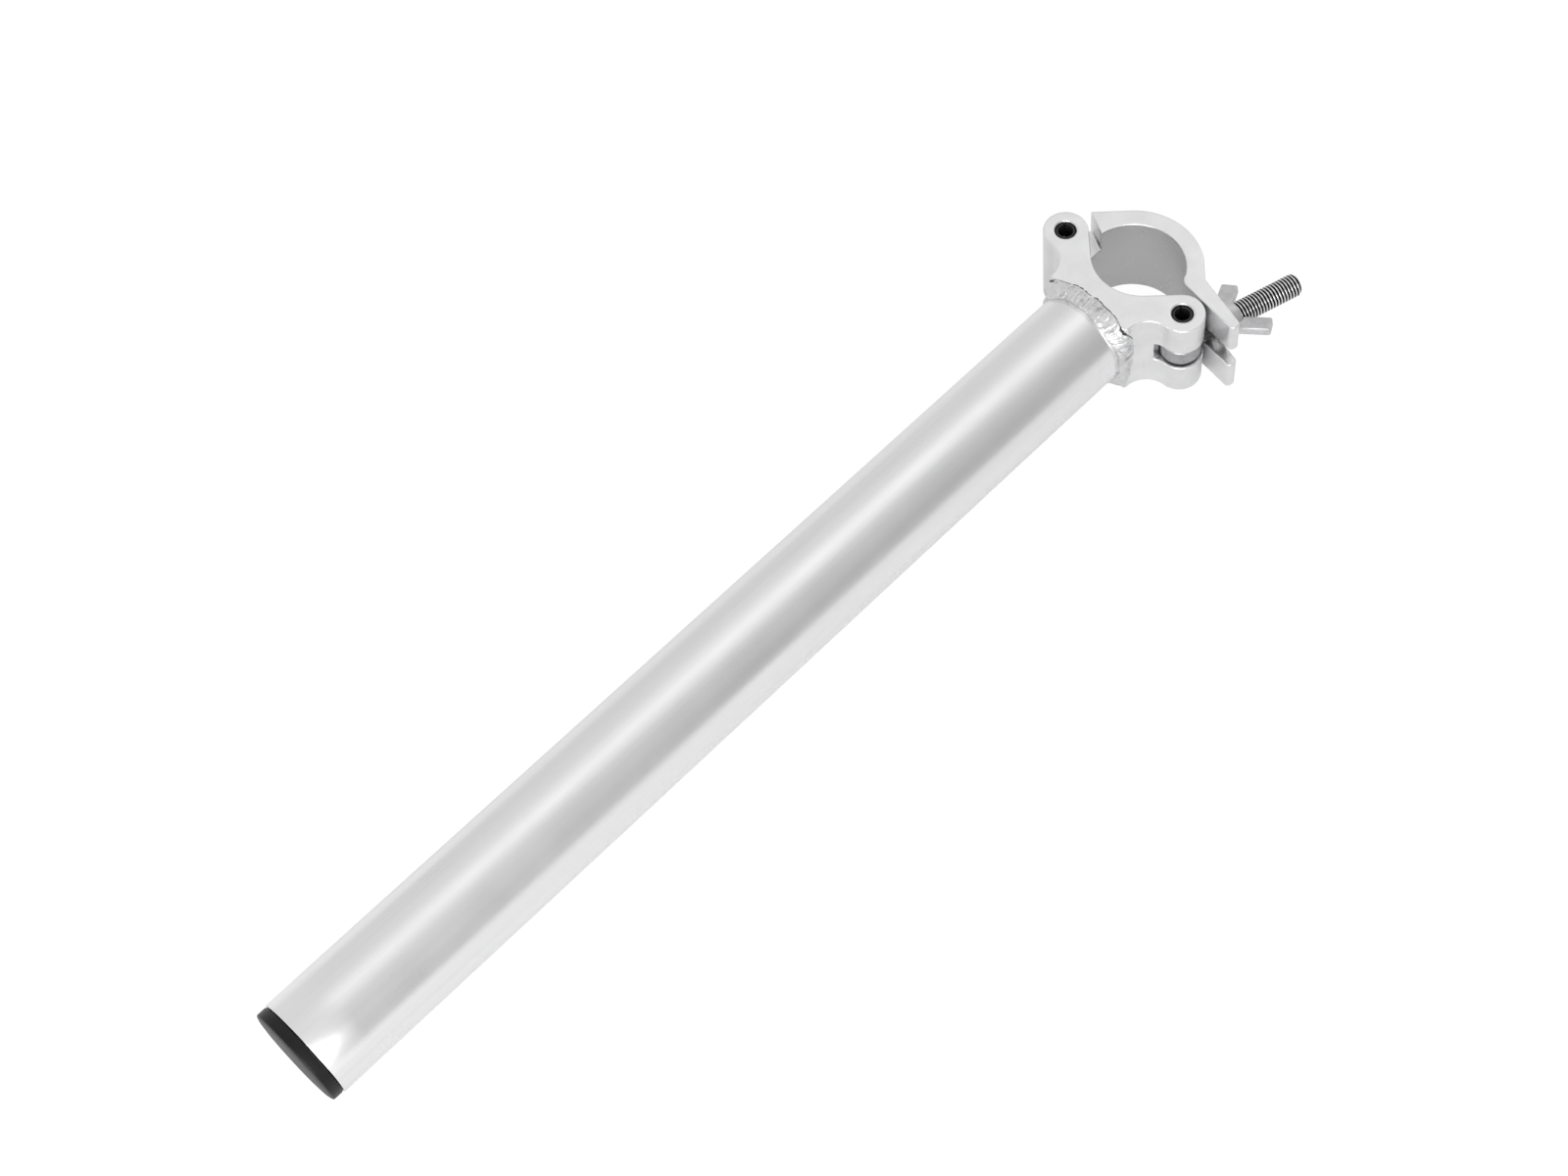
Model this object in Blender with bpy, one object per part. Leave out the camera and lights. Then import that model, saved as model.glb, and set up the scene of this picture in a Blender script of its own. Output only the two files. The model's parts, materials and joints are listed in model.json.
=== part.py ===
"""Half coupler for a stage pipe, welded to the end of a plugged aluminium tube.

The origin is the centre of the pipe seat in the clamp body, at the middle of its width.
+Z is the axis of the clamped pipe, and the welded tube runs along -X. The jaw is pinned
on the +Y side, and the swing bolt with its wing nut on the -Y side. Sizes are in
millimetres until a mesh is made, which turns them into metres.
"""

import math

import bmesh
import bpy
from mathutils import Matrix, Vector

MM = 0.001
GAP = 0.3

# Clamp: the driving sizes
CLAMP_WIDTH = 50.0
BORE_RADIUS = 25.2
PIN_X = -14.0
PIN_Y = 38.0
EAR_RADIUS = 11.3
EDGE_CHAMFER = 0.8

# Body below the ears
FOOT_HALF_WIDTH = 25.0
FOOT_STRAIGHT = 1.9
FOOT_CORNER_RADIUS = 1.6

# Spring pins
PIN_RADIUS = 5.0
PIN_WALL = 1.3
PIN_SLIT = 1.4
PIN_RECESS = 1.0
PIN_EDGE = 0.25
PIN_SLIT_FACING = math.radians(52.0)
HOLE_CHAMFER = 0.7

# Hinge: a tongue on the jaw between two cheeks of the body
TONGUE_WIDTH = 24.4
TONGUE_EYE_RADIUS = 9.0
TONGUE_CLEARANCE = 0.5
TONGUE_EDGE = 0.5
TONGUE_INSET = 2.0
TONGUE_LOW_ANGLE = math.radians(62.0)
TONGUE_HIGH_ANGLE = math.radians(70.0)
TONGUE_EYE_ARC = (math.radians(60.0), math.radians(215.0))
TONGUE_SEAT_ARC = (math.radians(111.0), math.radians(86.0))
CHEEK_SLOT_START = math.radians(-118.0)
CHEEK_SLOT_BACK = math.radians(100.0)
CHEEK_SLOT_END = math.radians(242.0)

# Jaw: its outline is drawn where it grips a full-size pipe, then closed onto the stop
JAW_CLOSING = math.radians(11.7)
JAW_WALL = 9.2
SHOULDER_ANGLE = math.radians(93.0)
BROW_ANGLE = math.radians(56.0)
SHOULDER_DISTANCE = 15.3
SHOULDER_LEAN = math.radians(73.0)
PEAK_RADIUS = 0.6
CHEEK_ANGLE = math.radians(-28.0)
NOSE_CORNER_ANGLE = math.radians(-49.0)
NOSE_INNER_X = 12.6
NOSE_SLANT = 2.0
NOSE_TIP_Y = -58.5
NOSE_ROOT_Y = -27.0
NOSE_ROOT_X = 22.8
NOSE_ROOT_RADIUS = 1.5
NOSE_CORNER_DROP = 1.5
FLANK_ANGLE = math.radians(-4.9)
NOSE_CORNER_RADIUS = 5.5
NOSE_TIP_RADIUS = 2.4
NOSE_SLOT_END_Y = -30.0
SLOT_OVERRUN = 8.0

# Swing bolt
THREAD_RADIUS = 5.9
BOLT_REACH = 68.3
BOLT_END_CHAMFER = 1.3
EYE_RADIUS = 10.2
EYE_WIDTH = 2 * THREAD_RADIUS - 2.4
NOSE_SLOT_WIDTH = 2 * THREAD_RADIUS + 1.2
EYE_EDGE = 0.7
SHANK_RADIUS = THREAD_RADIUS - 0.7
SHANK_ROOT = 1.5
THREAD_START = 17.0
THREAD_LEAD = 0.7

# Slot in the bolt's ear: a round pocket behind the eye, with a flat wall on both sides of it
EAR_SLOT_WIDTH = EYE_WIDTH + 3.2
EAR_SLOT_WALL = 6.5
EYE_CLEARANCE = 0.5

# Washer and wing nut
WASHER_RADIUS = 12.0
WASHER_THICKNESS = 2.5
WASHER_HOLE_RADIUS = THREAD_RADIUS + 2 * GAP
WASHER_EDGE = 0.3
NUT_HOLE_RADIUS = THREAD_RADIUS + GAP
HUB_RADIUS = 10.0
HUB_TOP_RADIUS = 8.8
HUB_HEIGHT = 8.3
HUB_EDGE = 0.8
WING_BASE = (3.6, 5.5)
WING_TIP = (17.6, 18.6)
WING_WIDTH = 8.6
WING_THICKNESS = 4.6
WING_CORNER_RADIUS = 1.2
WING_EDGE = 0.6
WING_ROLL = math.radians(165.0)

# Welded tube, weld and plug
TUBE_RADIUS = FOOT_HALF_WIDTH
TUBE_WALL = 3.0
TUBE_LENGTH = 500.0
TUBE_EDGE = 0.5
WELD_PROUD = 1.3
WELD_ON_FOOT = 4.6
WELD_ON_TUBE = 8.4
WELD_SQUARENESS = 3.5
WELD_STATIONS = 9
PLUG_FLANGE = 5.2
PLUG_DOME = 1.0
PLUG_FLAT_RADIUS = 14.0
PLUG_FACE_RADIUS = TUBE_RADIUS - 0.6
PLUG_EDGE_RADIUS = 0.6
PLUG_DEPTH = 22.0
PLUG_WALL = 2.4
PLUG_RIB_COUNT = 4
PLUG_RIB_HEIGHT = 1.2
PLUG_RIB_CREST = 1.2
PLUG_RIB_FOOT = 2.0
PLUG_LEAD = 2.0

# Fineness of the round shapes
ARC_STEP = math.radians(7.5)
SMALL_STEPS = 40
LARGE_STEPS = 72
OVERRUN = 20.0

HINGE = Vector((PIN_X, PIN_Y))
BOLT_PIN = Vector((PIN_X, -PIN_Y))
HALF_WIDTH = CLAMP_WIDTH / 2
GROOVE_RADIUS = PIN_Y - FOOT_HALF_WIDTH
FOOT_END_X = PIN_X - EAR_RADIUS - GROOVE_RADIUS - FOOT_STRAIGHT
HOLE_RADIUS = PIN_RADIUS + GAP
TUBE_START_X = FOOT_END_X - GAP
TUBE_END_X = TUBE_START_X - TUBE_LENGTH
BOLT_ANGLE = FLANK_ANGLE - JAW_CLOSING


def clear_scene():
    for old in list(bpy.data.objects):
        bpy.data.objects.remove(old, do_unlink=True)


def polar(radius, angle, centre=(0.0, 0.0)):
    return Vector((centre[0] + radius * math.cos(angle), centre[1] + radius * math.sin(angle)))


def arc(centre, radius, start, end):
    """Points on an arc, both ends included, no further apart than ARC_STEP."""
    count = max(2, math.ceil(abs(end - start) / ARC_STEP - 1e-6))
    return [polar(radius, start + (end - start) * i / count, centre) for i in range(count + 1)]


def rounded(before, corner, after, radius):
    """The arc that rounds the corner between two straight runs."""
    into = (before - corner).normalized()
    out = (after - corner).normalized()
    half = into.angle(out) / 2
    centre = corner + (into + out).normalized() * radius / math.sin(half)
    first = corner + into * radius / math.tan(half) - centre
    last = corner + out * radius / math.tan(half) - centre
    start = math.atan2(first.y, first.x)
    turn = first.angle_signed(last)
    return arc(centre, radius, start, start - turn)


def without_repeats(points):
    kept = []
    for point in points:
        if not kept or (point - kept[-1]).length > 1e-4:
            kept.append(point)
    if (kept[0] - kept[-1]).length < 1e-4:
        kept.pop()
    return kept


def inset(outline, depth):
    """The outline moved into its own material by depth; it runs anticlockwise."""
    moved = []
    for i, point in enumerate(outline):
        before = (point - outline[i - 1]).normalized()
        after = (outline[(i + 1) % len(outline)] - point).normalized()
        normal = Vector((-before.y - after.y, before.x + after.x)).normalized()
        lean = max(0.5, normal.dot(Vector((-before.y, before.x))))
        moved.append(point + normal * depth / lean)
    return moved


def ring(along, radius, steps):
    """A circle about the X axis."""
    turns = [math.tau * i / steps for i in range(steps)]
    return [(along, radius * math.cos(a), radius * math.sin(a)) for a in turns]


def mesh_object(name, bm):
    bmesh.ops.recalc_face_normals(bm, faces=bm.faces)
    mesh = bpy.data.meshes.new(name)
    bm.to_mesh(mesh)
    bm.free()
    mesh.transform(Matrix.Scale(MM, 4))
    mesh.shade_smooth()
    mesh.set_sharp_from_angle(angle=math.radians(30))
    made = bpy.data.objects.new(name, mesh)
    bpy.context.scene.collection.objects.link(made)
    return made


def lofted(name, rings):
    """A closed solid through rings of equally many points, capped at both ends."""
    bm = bmesh.new()
    loops = [[bm.verts.new(point) for point in ring] for ring in rings]
    for lower, upper in zip(loops, loops[1:]):
        for i in range(len(lower)):
            bm.faces.new((lower[i - 1], lower[i], upper[i], upper[i - 1]))
    bm.faces.new(loops[0])
    bm.faces.new(loops[-1])
    return mesh_object(name, bm)


def prism(name, outline, low, high, chamfer=0.0):
    """The outline in X and Y stood up from low to high, with its edges broken."""
    outline = without_repeats(outline)
    layers = [(outline, low), (outline, high)]
    if chamfer:
        small = inset(outline, chamfer)
        layers = [
            (small, low),
            (outline, low + chamfer),
            (outline, high - chamfer),
            (small, high),
        ]
    return lofted(name, [[(p.x, p.y, z) for p in points] for points, z in layers])


def turned(name, profile, steps):
    """A closed profile of (along, radius) points turned about the X axis."""
    bm = bmesh.new()
    rings = []
    for i in range(steps):
        turn = Matrix.Rotation(math.tau * i / steps, 3, "X")
        rings.append([bm.verts.new(turn @ Vector((along, 0, radius))) for along, radius in profile])
    for i in range(steps):
        here, before = rings[i], rings[i - 1]
        for j in range(len(profile)):
            bm.faces.new((before[j - 1], before[j], here[j], here[j - 1]))
    return mesh_object(name, bm)


def rod(name, radius, low, high, steps):
    """A plain round bar along X."""
    return lofted(name, [ring(low, radius, steps), ring(high, radius, steps)])


def cutter(made):
    made.hide_render = True
    made.display_type = "WIRE"
    return made


def combine(target, other, operation):
    modifier = target.modifiers.new(operation.title(), "BOOLEAN")
    modifier.operation = operation
    modifier.object = cutter(other)


def stand(made, position, rotation=None):
    """Moves a shape drawn about the origin, in millimetres, to its place."""
    made.data.transform((rotation or Matrix.Identity(3)).to_4x4())
    made.location = Vector(position) * MM


def origin_to(made, position):
    """Puts the object's origin on its joint's axis and leaves the shape where it is."""
    place = Vector(position) * MM
    made.data.transform(Matrix.Translation(-place))
    made.location = place


def paint(made, name, colour, roughness, metallic):
    material = bpy.data.materials.new(name)
    material.use_nodes = True
    shader = material.node_tree.nodes["Principled BSDF"]
    shader.inputs["Base Color"].default_value = (*colour, 1.0)
    shader.inputs["Roughness"].default_value = roughness
    shader.inputs["Metallic"].default_value = metallic
    made.data.materials.append(material)


def bored_hole(name, centre, radius, half_length, chamfer=HOLE_CHAMFER):
    """A cutter along Z whose ends open out by the chamfer."""
    stations = [
        (-half_length - chamfer, radius + 2 * chamfer),
        (-half_length + chamfer, radius),
        (half_length - chamfer, radius),
        (half_length + chamfer, radius + 2 * chamfer),
    ]
    rings = []
    for z, r in stations:
        rings.append([(p.x, p.y, z) for p in arc(centre, r, 0, math.tau)[:-1]])
    return lofted(name, rings)


def body_half_outline():
    """From the bottom of the pipe seat, over the hinge ear, to the middle of the foot."""
    between = math.atan2(PIN_Y, PIN_X)
    lean = math.acos((BORE_RADIUS + EAR_RADIUS) / HINGE.length)
    touch = between + lean
    groove = Vector((PIN_X - EAR_RADIUS - GROOVE_RADIUS, PIN_Y))
    foot_corner = Vector((FOOT_END_X, FOOT_HALF_WIDTH))
    points = arc((0, 0), BORE_RADIUS, math.pi, touch)
    points += arc(HINGE, EAR_RADIUS, touch - math.pi, math.pi)
    points += arc(groove, GROOVE_RADIUS, 0, -math.pi / 2)
    ahead = foot_corner + Vector((GROOVE_RADIUS, 0))
    inward = foot_corner - Vector((0, FOOT_HALF_WIDTH))
    points += rounded(ahead, foot_corner, inward, FOOT_CORNER_RADIUS)
    return points


def make_body():
    upper = body_half_outline()
    lower = [Vector((p.x, -p.y)) for p in reversed(upper)]
    body = prism("clamp_body", lower + upper, -HALF_WIDTH, HALF_WIDTH, EDGE_CHAMFER)

    reach = HINGE.length - BORE_RADIUS + TONGUE_CLEARANCE
    snug = TONGUE_EYE_RADIUS + TONGUE_CLEARANCE
    wedge = arc(HINGE, reach, CHEEK_SLOT_START, CHEEK_SLOT_BACK)
    wedge += arc(HINGE, snug, CHEEK_SLOT_BACK, CHEEK_SLOT_END)
    slot_half = TONGUE_WIDTH / 2 + GAP
    combine(body, prism("hinge_slot_cutter", wedge, -slot_half, slot_half), "DIFFERENCE")

    pocket = EYE_RADIUS + EYE_CLEARANCE
    lift = math.asin(EAR_SLOT_WALL / pocket)
    slot = arc(BOLT_PIN, pocket, lift, math.pi - lift)
    reach = pocket + OVERRUN
    for across, up in ((-reach, EAR_SLOT_WALL), (-reach, -reach), (reach, -reach), (reach, EAR_SLOT_WALL)):
        slot.append(BOLT_PIN + Vector((across, up)))
    ear_half = EAR_SLOT_WIDTH / 2
    combine(body, prism("ear_slot_cutter", slot, -ear_half, ear_half), "DIFFERENCE")

    for name, centre in (("hinge_hole_cutter", HINGE), ("bolt_hole_cutter", BOLT_PIN)):
        combine(body, bored_hole(name, centre, HOLE_RADIUS, HALF_WIDTH), "DIFFERENCE")
    paint(body, "cast_aluminium", (0.80, 0.80, 0.81), 0.32, 1.0)


def jaw_outline():
    """The full-width part of the jaw, gripping a full-size pipe, anticlockwise."""
    outer = BORE_RADIUS + JAW_WALL
    slope = math.tan(FLANK_ANGLE)
    tip_outer = Vector((NOSE_ROOT_X + slope * (NOSE_ROOT_Y - NOSE_TIP_Y), NOSE_TIP_Y))
    root_outer = Vector((NOSE_ROOT_X, NOSE_ROOT_Y))
    tip_inner = Vector((NOSE_INNER_X + NOSE_SLANT, NOSE_TIP_Y))
    seat_end = polar(BORE_RADIUS, NOSE_CORNER_ANGLE)
    corner = Vector((NOSE_INNER_X, seat_end.y - NOSE_CORNER_DROP))

    brow = polar(outer, BROW_ANGLE)
    along = Vector((-math.sin(BROW_ANGLE), math.cos(BROW_ANGLE)))
    shoulder = polar(1, SHOULDER_LEAN)
    sideways = Vector((shoulder.y, -shoulder.x))
    base = HINGE + sideways * SHOULDER_DISTANCE
    # where the brow line meets the shoulder line
    run = (base - brow).cross(shoulder) / along.cross(shoulder)
    peak = brow + along * run
    foot = polar(BORE_RADIUS, SHOULDER_ANGLE)

    points = rounded(corner, tip_inner, tip_outer, NOSE_TIP_RADIUS)
    points += rounded(tip_inner, tip_outer, root_outer, NOSE_TIP_RADIUS)
    points += rounded(tip_outer, root_outer, polar(outer, CHEEK_ANGLE), NOSE_ROOT_RADIUS)
    points += arc((0, 0), outer, CHEEK_ANGLE, BROW_ANGLE)
    points += rounded(brow, peak, foot, PEAK_RADIUS)
    points += arc((0, 0), BORE_RADIUS, SHOULDER_ANGLE, NOSE_CORNER_ANGLE)
    points += rounded(seat_end, corner, tip_inner, NOSE_CORNER_RADIUS)
    return points


def tongue_outline():
    """The hinge tongue, from inside the jaw to the eye round the hinge pin."""
    outer = BORE_RADIUS + JAW_WALL
    points = [
        polar(BORE_RADIUS + TONGUE_INSET, TONGUE_LOW_ANGLE),
        polar(outer - TONGUE_INSET, TONGUE_HIGH_ANGLE),
    ]
    points += arc(HINGE, TONGUE_EYE_RADIUS, *TONGUE_EYE_ARC)
    points += arc((0, 0), BORE_RADIUS, *TONGUE_SEAT_ARC)
    return points


def make_jaw():
    jaw = prism("clamp_jaw", jaw_outline(), -HALF_WIDTH, HALF_WIDTH, EDGE_CHAMFER)
    half_tongue = TONGUE_WIDTH / 2
    tongue = prism("tongue_shape", tongue_outline(), -half_tongue, half_tongue, TONGUE_EDGE)
    combine(jaw, tongue, "UNION")

    slot_half = NOSE_SLOT_WIDTH / 2
    left = NOSE_INNER_X - SLOT_OVERRUN
    right = NOSE_ROOT_X + SLOT_OVERRUN
    below = NOSE_TIP_Y - SLOT_OVERRUN
    slot = [
        Vector((left, below)),
        Vector((right, below)),
        Vector((right, NOSE_SLOT_END_Y)),
        Vector((left, NOSE_SLOT_END_Y)),
    ]
    combine(jaw, prism("nose_slot_cutter", slot, -slot_half, slot_half), "DIFFERENCE")
    hole = bored_hole("tongue_hole_cutter", HINGE, HOLE_RADIUS, half_tongue)
    combine(jaw, hole, "DIFFERENCE")

    # every shape above is closed together about the hinge pin
    turn = Matrix.Rotation(-JAW_CLOSING, 4, "Z")
    for piece in [jaw] + [m.object for m in jaw.modifiers]:
        origin_to(piece, (*HINGE, 0))
        piece.data.transform(turn)
    paint(jaw, "cast_aluminium_jaw", (0.80, 0.80, 0.81), 0.32, 1.0)


def make_pin(name, centre):
    """A slotted spring pin; the slit faces away from the tube."""
    half_slit = math.asin(PIN_SLIT / 2 / PIN_RADIUS)
    first = PIN_SLIT_FACING + half_slit
    last = PIN_SLIT_FACING + math.tau - half_slit
    points = arc((0, 0), PIN_RADIUS, first, last)
    points += arc((0, 0), PIN_RADIUS - PIN_WALL, last, first)
    half_length = HALF_WIDTH - PIN_RECESS
    pin = prism(name, points, -half_length, half_length, PIN_EDGE)
    stand(pin, (*centre, 0))
    paint(pin, name + "_steel", (0.03, 0.03, 0.032), 0.4, 0.6)


def along_bolt(distance):
    return (*(BOLT_PIN + polar(distance, BOLT_ANGLE)), 0)


def bolt_turn(roll=0.0):
    return Matrix.Rotation(BOLT_ANGLE, 3, "Z") @ Matrix.Rotation(roll, 3, "X")


def flank_distance():
    """From the bolt pin to the outer flank of the nose, along the bolt."""
    root = Matrix.Rotation(-JAW_CLOSING, 2) @ (Vector((NOSE_ROOT_X, NOSE_ROOT_Y)) - HINGE) + HINGE
    return (root - BOLT_PIN).dot(polar(1, BOLT_ANGLE))


def make_swing_bolt():
    stations = [
        (HOLE_RADIUS + SHANK_ROOT, SHANK_RADIUS),
        (THREAD_START, SHANK_RADIUS),
        (THREAD_START + THREAD_LEAD, THREAD_RADIUS),
        (BOLT_REACH - BOLT_END_CHAMFER, THREAD_RADIUS),
        (BOLT_REACH, THREAD_RADIUS - BOLT_END_CHAMFER),
    ]
    shank = lofted("shank_shape", [ring(x, r, SMALL_STEPS) for x, r in stations])
    half_eye = EYE_WIDTH / 2
    round_eye = arc((0, 0), EYE_RADIUS, 0, math.tau)
    eye = prism("swing_bolt", round_eye, -half_eye, half_eye, EYE_EDGE)
    combine(eye, shank, "UNION")
    combine(eye, bored_hole("eye_hole_cutter", (0, 0), HOLE_RADIUS, half_eye), "DIFFERENCE")
    for piece in [eye] + [m.object for m in eye.modifiers]:
        stand(piece, (*BOLT_PIN, 0), bolt_turn())
    paint(eye, "zinc_steel_bolt", (0.32, 0.32, 0.33), 0.35, 1.0)


def make_washer():
    start = flank_distance() + GAP
    profile = [
        (0, WASHER_HOLE_RADIUS),
        (WASHER_THICKNESS, WASHER_HOLE_RADIUS),
        (WASHER_THICKNESS, WASHER_RADIUS - WASHER_EDGE),
        (WASHER_THICKNESS - WASHER_EDGE, WASHER_RADIUS),
        (WASHER_EDGE, WASHER_RADIUS),
        (0, WASHER_RADIUS - WASHER_EDGE),
    ]
    washer = turned("washer", profile, SMALL_STEPS)
    stand(washer, along_bolt(start), bolt_turn())
    paint(washer, "zinc_steel_washer", (0.55, 0.55, 0.56), 0.35, 1.0)


def wing_outline(side):
    """One wing in the plane of the bolt: X is along the bolt, Y away from it."""
    base = Vector((WING_BASE[0], side * WING_BASE[1]))
    tip = Vector((WING_TIP[0], side * WING_TIP[1]))
    out = (tip - base).normalized()
    across = Vector((-out.y, out.x)) * WING_WIDTH / 2
    corners = [base - across, tip - across, tip + across, base + across]
    points = [corners[0]]
    points += rounded(corners[0], corners[1], corners[2], WING_CORNER_RADIUS)
    points += rounded(corners[1], corners[2], corners[3], WING_CORNER_RADIUS)
    points += [corners[3]]
    return points


def make_wing_nut():
    start = flank_distance() + GAP + WASHER_THICKNESS + GAP
    hub_profile = [
        (0, HUB_RADIUS - HUB_EDGE),
        (HUB_EDGE, HUB_RADIUS),
        (HUB_HEIGHT - HUB_EDGE, HUB_TOP_RADIUS),
        (HUB_HEIGHT, HUB_TOP_RADIUS - HUB_EDGE),
    ]
    nut = lofted("wing_nut", [ring(x, r, SMALL_STEPS) for x, r in hub_profile])
    half = WING_THICKNESS / 2
    for side, name in ((1, "left_wing_shape"), (-1, "right_wing_shape")):
        combine(nut, prism(name, wing_outline(side), -half, half, WING_EDGE), "UNION")
    reach = HUB_HEIGHT + OVERRUN
    hole = rod("nut_hole_cutter", NUT_HOLE_RADIUS, -OVERRUN, reach, SMALL_STEPS)
    combine(nut, hole, "DIFFERENCE")
    for piece in [nut] + [m.object for m in nut.modifiers]:
        stand(piece, along_bolt(start), bolt_turn(WING_ROLL))
    paint(nut, "zinc_wing_nut", (0.62, 0.62, 0.63), 0.38, 1.0)


def make_tube():
    inner = TUBE_RADIUS - TUBE_WALL
    profile = [
        (TUBE_START_X, inner),
        (TUBE_START_X, TUBE_RADIUS - TUBE_EDGE),
        (TUBE_START_X - TUBE_EDGE, TUBE_RADIUS),
        (TUBE_END_X + TUBE_EDGE, TUBE_RADIUS),
        (TUBE_END_X, TUBE_RADIUS - TUBE_EDGE),
        (TUBE_END_X, inner),
    ]
    tube = turned("main_tube", profile, LARGE_STEPS)
    paint(tube, "tube_aluminium", (0.78, 0.78, 0.79), 0.30, 1.0)


def weld_ring(share):
    """One section of the bead: square with round corners on the foot, round on the tube."""
    ahead = FOOT_END_X + WELD_ON_FOOT
    behind = FOOT_END_X - WELD_ON_TUBE
    x = ahead + (behind - ahead) * share
    under = FOOT_HALF_WIDTH - GAP
    bulge = max(0.0, math.sin(math.pi * share)) ** 0.6
    size = under + (FOOT_HALF_WIDTH + WELD_PROUD - under) * bulge
    square = 2 + (WELD_SQUARENESS - 2) * (1 - share) ** 0.7
    points = []
    for _, across, up in ring(x, 1.0, LARGE_STEPS):
        reach = (abs(across) ** square + abs(up) ** square) ** (-1 / square)
        points.append((x, size * reach * across, size * reach * up))
    return points


def make_weld():
    """The bead that fills the corner between the square foot and the round tube."""
    shares = [i / (WELD_STATIONS - 1) for i in range(WELD_STATIONS)]
    weld = lofted("weld_bead", [weld_ring(share) for share in shares])
    ahead = FOOT_END_X + WELD_ON_FOOT + OVERRUN
    behind = FOOT_END_X - WELD_ON_TUBE - OVERRUN
    tube_cut = rod("weld_tube_cutter", TUBE_RADIUS + GAP, behind, ahead, LARGE_STEPS)
    combine(weld, tube_cut, "DIFFERENCE")
    side = FOOT_HALF_WIDTH + GAP
    square = [
        Vector((FOOT_END_X - GAP, -side)),
        Vector((ahead, -side)),
        Vector((ahead, side)),
        Vector((FOOT_END_X - GAP, side)),
    ]
    foot_half = HALF_WIDTH + GAP
    combine(weld, prism("weld_foot_cutter", square, -foot_half, foot_half), "DIFFERENCE")
    paint(weld, "weld_aluminium", (0.74, 0.74, 0.75), 0.42, 1.0)


def plug_edge(rim_x):
    """The plug's face, from the flat in the middle over the shallow dome and round the rim."""
    steps = 6
    rim = PLUG_FACE_RADIUS - PLUG_EDGE_RADIUS
    points = []
    for i in range(steps):
        a = math.pi / 2 * i / steps
        radius = PLUG_FLAT_RADIUS + (rim - PLUG_FLAT_RADIUS) * math.sin(a)
        points.append((rim_x - PLUG_DOME * math.cos(a), radius))
    for i in range(steps + 1):
        a = math.pi / 2 * (1 - i / steps)
        along = rim_x + PLUG_EDGE_RADIUS * (1 - math.sin(a))
        points.append((along, PLUG_FACE_RADIUS - PLUG_EDGE_RADIUS * (1 - math.cos(a))))
    return points


def make_plug():
    """A push-in cap: a shallow domed flange and a hollow ribbed stem inside the tube."""
    stem = TUBE_RADIUS - TUBE_WALL - GAP
    seat_x = TUBE_END_X - GAP
    core = stem - PLUG_RIB_HEIGHT
    profile = plug_edge(seat_x - PLUG_FLANGE)
    profile += [(seat_x, PLUG_FACE_RADIUS), (seat_x, core)]
    pitch = (PLUG_DEPTH - 2 * PLUG_LEAD) / PLUG_RIB_COUNT
    for i in range(PLUG_RIB_COUNT):
        start = seat_x + PLUG_LEAD + pitch * i
        profile += [(start, core), (start + PLUG_RIB_CREST, stem), (start + PLUG_RIB_FOOT, core)]
    end = seat_x + PLUG_DEPTH
    profile += [(end, core), (end, core - PLUG_WALL), (seat_x, core - PLUG_WALL)]
    plug = lofted("end_plug", [ring(x, r, LARGE_STEPS) for x, r in profile])
    paint(plug, "black_plastic", (0.02, 0.02, 0.02), 0.5, 0.0)


clear_scene()
make_body()
make_jaw()
make_pin("hinge_pin", HINGE)
make_pin("bolt_pin", BOLT_PIN)
make_swing_bolt()
make_washer()
make_wing_nut()
make_tube()
make_weld()
make_plug()
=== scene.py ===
import json
import math

import bmesh
import bpy
from mathutils import Matrix, Vector, noise


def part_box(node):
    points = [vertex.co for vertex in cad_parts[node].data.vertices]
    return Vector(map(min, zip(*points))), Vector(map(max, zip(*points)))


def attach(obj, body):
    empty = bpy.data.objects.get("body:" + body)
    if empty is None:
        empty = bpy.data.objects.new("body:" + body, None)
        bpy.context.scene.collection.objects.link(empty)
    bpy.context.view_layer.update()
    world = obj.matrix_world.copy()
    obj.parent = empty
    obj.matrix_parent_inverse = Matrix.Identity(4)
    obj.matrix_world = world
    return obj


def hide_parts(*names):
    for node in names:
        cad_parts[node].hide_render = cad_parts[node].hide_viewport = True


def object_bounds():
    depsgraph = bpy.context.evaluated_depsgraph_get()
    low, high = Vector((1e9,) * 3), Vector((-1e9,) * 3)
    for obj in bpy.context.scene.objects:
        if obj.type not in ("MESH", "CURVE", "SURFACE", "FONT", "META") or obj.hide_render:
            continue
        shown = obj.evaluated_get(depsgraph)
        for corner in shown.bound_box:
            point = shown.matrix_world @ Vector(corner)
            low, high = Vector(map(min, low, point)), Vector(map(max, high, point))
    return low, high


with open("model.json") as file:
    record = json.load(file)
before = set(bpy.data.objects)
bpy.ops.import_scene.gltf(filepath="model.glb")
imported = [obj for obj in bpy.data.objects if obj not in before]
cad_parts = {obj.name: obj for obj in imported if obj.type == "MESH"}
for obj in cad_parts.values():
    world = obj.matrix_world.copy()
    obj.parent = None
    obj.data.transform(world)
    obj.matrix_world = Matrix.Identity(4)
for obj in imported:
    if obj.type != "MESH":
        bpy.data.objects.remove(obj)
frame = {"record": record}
cad_low, cad_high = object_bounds()

MM = 0.001
JOINTS = {joint["name"]: joint for joint in frame["record"]["behaviour"]["joints"]}

# ---------------------------------------------------------------- sizes, in millimetres


def extent(node):
    """Lowest and highest corner of a CAD node, in millimetres."""
    low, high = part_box(node)
    return Vector(low) / MM, Vector(high) / MM


BODY_LOW, BODY_HIGH = extent("clamp_body")
TUBE_LOW, TUBE_HIGH = extent("main_tube")
WELD_REACH = extent("weld_bead")[1].z - 0.02
PLUG_LOW, PLUG_HIGH = extent("end_plug")
PIN_LOW, PIN_HIGH = extent("hinge_pin")

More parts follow.
